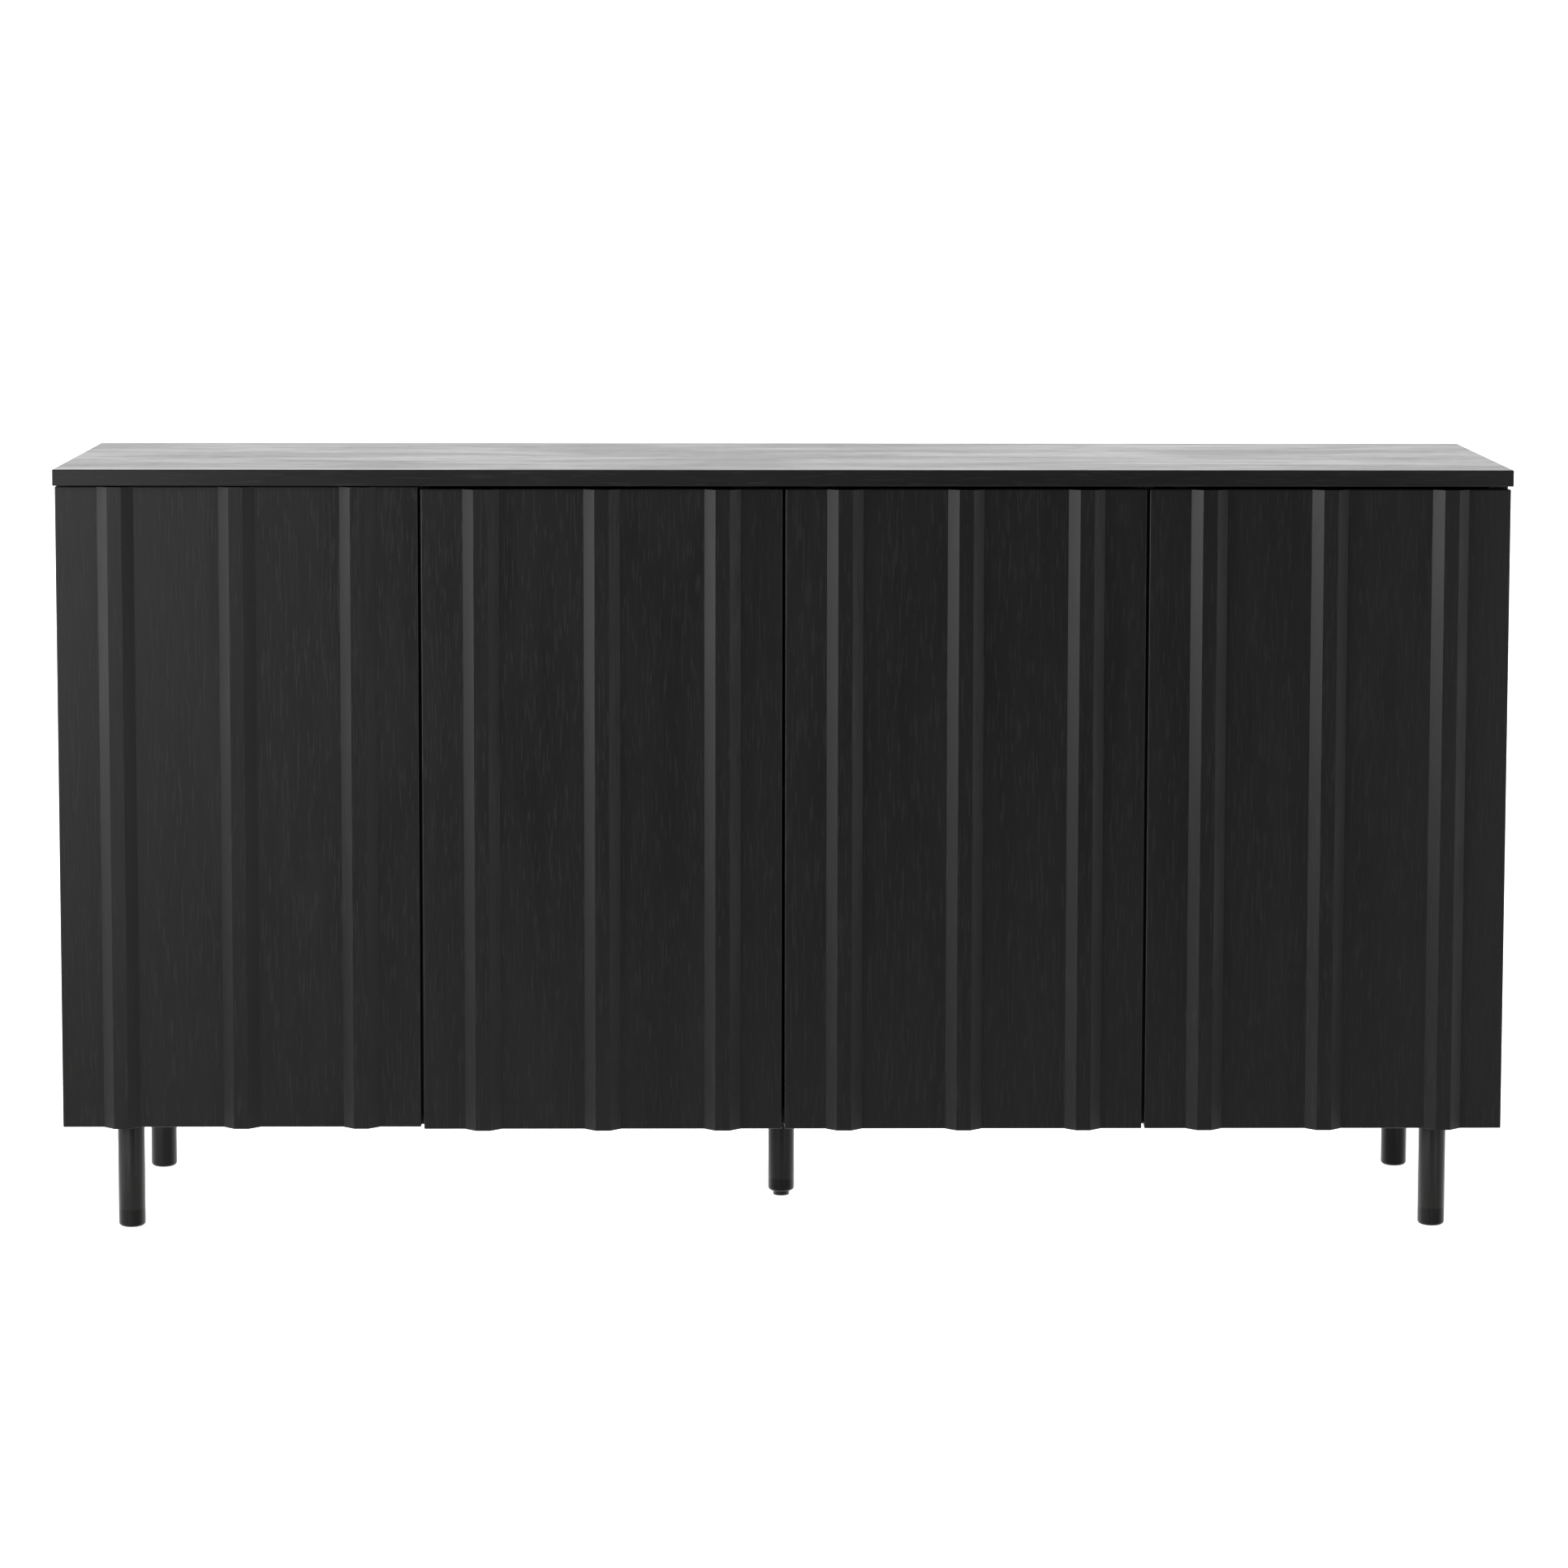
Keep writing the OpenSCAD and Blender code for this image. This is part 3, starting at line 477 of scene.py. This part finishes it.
def case_boards():
    """The case. A board's materials are for its faces, its rounded edges and, third, one side of it."""
    board("top_board", "top_panel", "case", TOP_SOFT, [oak_lengthways, edge_lengthways])
    bottom = board("bottom_board", "bottom_panel", "case", CASE_SOFT,
                   [black_board, edge_lengthways, inner_board])
    dress_side(bottom, Z, 1)
    for word, side in (("left", -1), ("right", 1)):
        outer = board(f"{word}_side_board", f"{word}_side_panel", "case", CASE_SOFT,
                      [oak_upright, edge_upright, inner_board])
        dress_side(outer, X, -side)
        upright = board(f"{word}_upright", f"{word}_partition", "case", CASE_SOFT,
                        [inner_board, inner_board, edge_upright])
        dress_side(upright, Y, -1)
    for word in ("left", "middle", "right"):
        board(f"{word}_shelf_board", f"{word}_shelf", "case", FACE_SOFT, [inner_board, inner_board],
              carved=False)
        sheet = board(f"{word}_back_sheet", f"{word}_back_panel", "case", BACK_SOFT,
                      [inner_board, black_board, black_board], carved=False)
        dress_side(sheet, Y, 1)


def door_boards():
    """The four flat door panels."""
    for door in DOORS:
        board(f"door_{door}_board", f"door_{door}_panel", f"door_{door}", FACE_SOFT,
              [oak_upright, edge_upright])


def door_ribs():
    """Each door's ribs, evenly spaced across the CAD node that holds all of them."""
    slope = (RIB_BASE - RIB_FRONT) / 2
    for door in DOORS:
        node = f"door_{door}_ribs"
        low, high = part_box(node)
        depth = high.y - low.y
        pitch = (high.x - low.x - RIB_BASE) / (RIBS_PER_DOOR - 1)
        outline = fillet([(0, depth), (slope, 0), (slope + RIB_FRONT, 0), (RIB_BASE, depth)],
                         [0, RIB_SOFT, RIB_SOFT, 0], SOFT_STEPS)
        for rib in range(RIBS_PER_DOOR):
            place = Vector((low.x + rib * pitch, low.y, low.z))
            piece = finish_mesh(prism(outline, place, high.z - low.z, RIB_END_SOFT),
                                f"door_{door}_rib_{rib + 1}", [oak_upright, edge_upright])
            weigh_normals(piece)
            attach(piece, f"door_{door}")
            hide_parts(node)


# ---------------------------------------------------------------- legs

def leg(name, node, recess_radius, recess_height):
    """A turned leg with a rounded lower edge and a recess under it for its glide or foot."""
    low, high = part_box(node)
    centre = Vector(((low.x + high.x) / 2, (low.y + high.y) / 2, 0))
    radius = (high.x - low.x) / 2
    profile = [(0, low.z + recess_height), (recess_radius, low.z + recess_height)]
    profile += [(recess_radius, low.z + RECESS_CHAMFER), (recess_radius + RECESS_CHAMFER, low.z)]
    profile += arc((radius - LEG_ROUND, low.z + LEG_ROUND), LEG_ROUND, -90, 0, LEG_ROUND_STEPS)
    profile += arc((radius - LEG_TOP_SOFT, high.z - LEG_TOP_SOFT), LEG_TOP_SOFT, 0, 90, SOFT_STEPS)
    profile += [(0, high.z)]
    piece = finish_mesh(lathe(profile, centre), name, [oak_turned])
    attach(piece, "case")
    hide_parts(node)


def legs():
    """The corner legs and the centre leg. The box of all the glides starts at the left glides' edge."""
    glide_low, glide_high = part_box("leg_glides")
    leg_low, leg_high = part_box("front_left_leg")
    glide_radius = (leg_low.x + leg_high.x) / 2 - glide_low.x
    for corner in ("front_left", "front_right", "rear_left", "rear_right"):
        leg(f"{corner}_turned_leg", f"{corner}_leg", glide_radius + GLIDE_PLAY, glide_high.z - leg_low.z)
    foot_low, foot_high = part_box("centre_foot")
    leg("centre_turned_leg", "centre_leg", (foot_high.x - foot_low.x) / 2 + FOOT_PLAY, FOOT_RECESS)


# ---------------------------------------------------------------- fittings

def dress(material, edge_soft, *nodes):
    """Gives CAD nodes a material, and softens their edges without touching their shape's own points."""
    for name in nodes:
        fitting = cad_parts[name]
        if not fitting.material_slots:
            fitting.data.materials.append(material)
        for holder in fitting.material_slots:
            holder.link = "OBJECT"
            holder.material = material
        weld = fitting.modifiers.new("weld", "WELD")
        weld.merge_threshold = WELD
        bevel = fitting.modifiers.new("softened_edges", "BEVEL")
        bevel.width = edge_soft
        bevel.segments = FITTING_STEPS
        bevel.limit_method = "ANGLE"
        bevel.angle_limit = SHARP_ANGLE
        bevel.harden_normals = True


def fittings():
    """Everything that keeps its CAD shape."""
    dress(nickel, HINGE_SOFT, "side_hinge_arms", "partition_hinge_arms", "hinge_plates", "shelf_pins")
    dress(nickel, HINGE_SOFT, *(f"door_{door}_hinge_cups" for door in DOORS))
    dress(zinc, SCREW_SOFT, "cam_locks", "cam_bolts", "leg_plates", "leg_studs", "leg_plate_screws",
          "hinge_screws", "latch_screws")
    for part in ("hinge_pins", "cup_screws", "strike"):
        dress(zinc, SCREW_SOFT, *(f"door_{door}_{part}" for door in DOORS))
    dress(beech, DOWEL_SOFT, "dowels")
    dress(black_plastic, PLASTIC_SOFT, "latch_housings", "leg_glides", "centre_foot")
    dress(grey_plastic, PLASTIC_SOFT, *(f"latch_plunger_{door}" for door in DOORS))


def bumpers():
    """A clear dot for each door on the case's bottom front edge, under the door's latch."""
    floor_low, floor_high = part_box("bottom_panel")
    for door in DOORS:
        strike_low, strike_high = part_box(f"door_{door}_strike")
        place = Vector(((strike_low.x + strike_high.x) / 2, floor_low.y, (floor_low.z + floor_high.z) / 2))
        height = floor_low.y - strike_low.y - BUMPER_CLEARANCE
        profile = [(0, 0), (BUMPER_RADIUS, 0)]
        for step in range(1, DOME_STEPS):
            angle = math.radians(90 * step / DOME_STEPS)
            profile.append((BUMPER_RADIUS * math.cos(angle), height * math.sin(angle)))
        profile.append((0, height))
        dome = lathe(profile, place, axis=Vector((0, -1, 0)), steps=BUMPER_STEPS)
        piece = finish_mesh(dome, f"bumper_{door}", [silicone])
        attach(piece, "case")


# ---------------------------------------------------------------- studio

CAMERA_PLACE = Vector((-0.059, -5.235, 1.254))
CAMERA_DOWN = math.radians(5.52)
CAMERA_RIGHT = math.radians(0.623)
CAMERA_ROLL = math.radians(0.084)
CAMERA_LENS = 106.0
CAMERA_SHIFT = (0.0024, -0.15)
SENSOR_WIDTH = 36.0
SIGHT = 200.0              # how far the camera sees

FLOOR_HALF = 30.0          # half the width of the floor
FLOOR_GLOW = 0.97
HORIZON_BLEND = 0.15       # height, on a unit sphere, over which the room turns from low to high
WALL_START, WALL_FULL = -0.3, 0.5   # depth, on a unit sphere, where the bright wall begins and is full


def camera():
    """The main camera, above the object's height and looking slightly down."""
    data = bpy.data.cameras.new("camera")
    data.lens = CAMERA_LENS
    data.sensor_width = SENSOR_WIDTH
    data.shift_x, data.shift_y = CAMERA_SHIFT
    data.clip_end = SIGHT
    seen_from = bpy.data.objects.new("camera", data)
    bpy.context.scene.collection.objects.link(seen_from)
    turn = Matrix.Rotation(-CAMERA_RIGHT, 4, "Z") @ Matrix.Rotation(math.pi / 2 - CAMERA_DOWN, 4, "X")
    seen_from.matrix_world = Matrix.Translation(CAMERA_PLACE) @ turn @ Matrix.Rotation(CAMERA_ROLL, 4, "Z")
    bpy.context.scene.camera = seen_from


def floor():
    """A pale floor that glows, so that it stays white, but doesn't light the object or show in its gloss."""
    material, tree, shader = new_material("pale_floor", roughness=0.9, specular_ior_level=0.1,
                                          emission_color=(1.0, 1.0, 1.0, 1.0), emission_strength=FLOOR_GLOW)
    place = add_node(tree, "ShaderNodeTexCoord").outputs["Object"]
    dust = even_noise(tree, place, cells=3.0, detail=3.0)
    pale = blend_colours(tree, dust, (0.78, 0.78, 0.78), (0.80, 0.80, 0.80))
    tree.links.new(pale, shader.inputs["Base Color"])
    bm = bmesh.new()
    bmesh.ops.create_grid(bm, x_segments=1, y_segments=1, size=FLOOR_HALF)
    ground = finish_mesh(bm, "floor", [material])
    ground.visible_glossy = False
    ground.visible_diffuse = False
    material.cycles.emission_sampling = "NONE"


def soft_light(name, place, aim, size, power):
    """A rectangular light of the given width and height, aimed at a point."""
    data = bpy.data.lights.new(name, "AREA")
    data.shape = "RECTANGLE"
    data.size, data.size_y = size
    data.energy = power
    lamp = bpy.data.objects.new(name, data)
    bpy.context.scene.collection.objects.link(lamp)
    lamp.location = place
    lamp.rotation_euler = (Vector(aim) - Vector(place)).to_track_quat("-Z", "Y").to_euler()
    lamp.visible_camera = False


def studio_world(high, low, back, seen):
    """A dim room in front of the object, with a brightness of its own above and below the horizon,
    and a bright wall behind it. Where the camera sees it, it is plain white."""
    world = bpy.data.worlds.new("studio")
    world.use_nodes = True
    tree = world.node_tree
    tree.nodes.clear()
    direction = add_node(tree, "ShaderNodeTexCoord").outputs["Generated"]
    parts = add_node(tree, "ShaderNodeSeparateXYZ", {0: direction})
    ahead = spread(tree, parts.outputs["Z"], -HORIZON_BLEND, HORIZON_BLEND, low, high)
    behind = spread(tree, parts.outputs["Y"], WALL_START, WALL_FULL)
    strength = add_node(tree, "ShaderNodeMix", {0: behind, 2: ahead, 3: back})
    room = add_node(tree, "ShaderNodeBackground", {"Color": (1, 1, 1, 1), "Strength": strength.outputs[0]})
    backdrop = add_node(tree, "ShaderNodeBackground", {"Color": (1, 1, 1, 1), "Strength": seen})
    straight = add_node(tree, "ShaderNodeLightPath").outputs["Is Camera Ray"]
    mixed = add_node(tree, "ShaderNodeMixShader", {
        0: straight, 1: room.outputs[0], 2: backdrop.outputs[0]})
    add_node(tree, "ShaderNodeOutputWorld", {"Surface": mixed.outputs[0]})
    bpy.context.scene.world = world


def studio():
    """The camera, the floor, the room and the soft lights: strong from the left, weaker from the right."""
    camera()
    floor()
    studio_world(high=0.10, low=0.29, back=1.9, seen=1.1)
    soft_light("left_softbox", place=(-3.4, -0.9, 1.2), aim=(-0.4, -0.2, 0.5), size=(1.8, 2.4), power=40.0)
    soft_light("left_front_softbox", place=(-2.2, -1.8, 1.3), aim=(-0.4, -0.2, 0.5), size=(1.0, 1.6),
               power=54.0)
    soft_light("left_end_strip", place=(-1.7, -3.4, 0.7), aim=(-0.7, -0.2, 0.5), size=(0.6, 1.6), power=18.0)
    soft_light("right_softbox", place=(3.6, -1.0, 0.6), aim=(0.4, -0.2, 0.4), size=(1.6, 1.8), power=11.5)
    soft_light("right_end_strip", place=(1.9, -2.6, 0.4), aim=(0.8, -0.2, 0.4), size=(0.8, 1.4), power=9.5)
    soft_light("floor_bounce", place=(0.0, -0.75, 0.02), aim=(0.0, -0.75, 1.0), size=(3.2, 1.5), power=4.2)
    view = bpy.context.scene.view_settings
    view.view_transform = "Standard"
    view.look = "None"


studio()
case_boards()
door_boards()
door_ribs()
legs()
fittings()
bumpers()
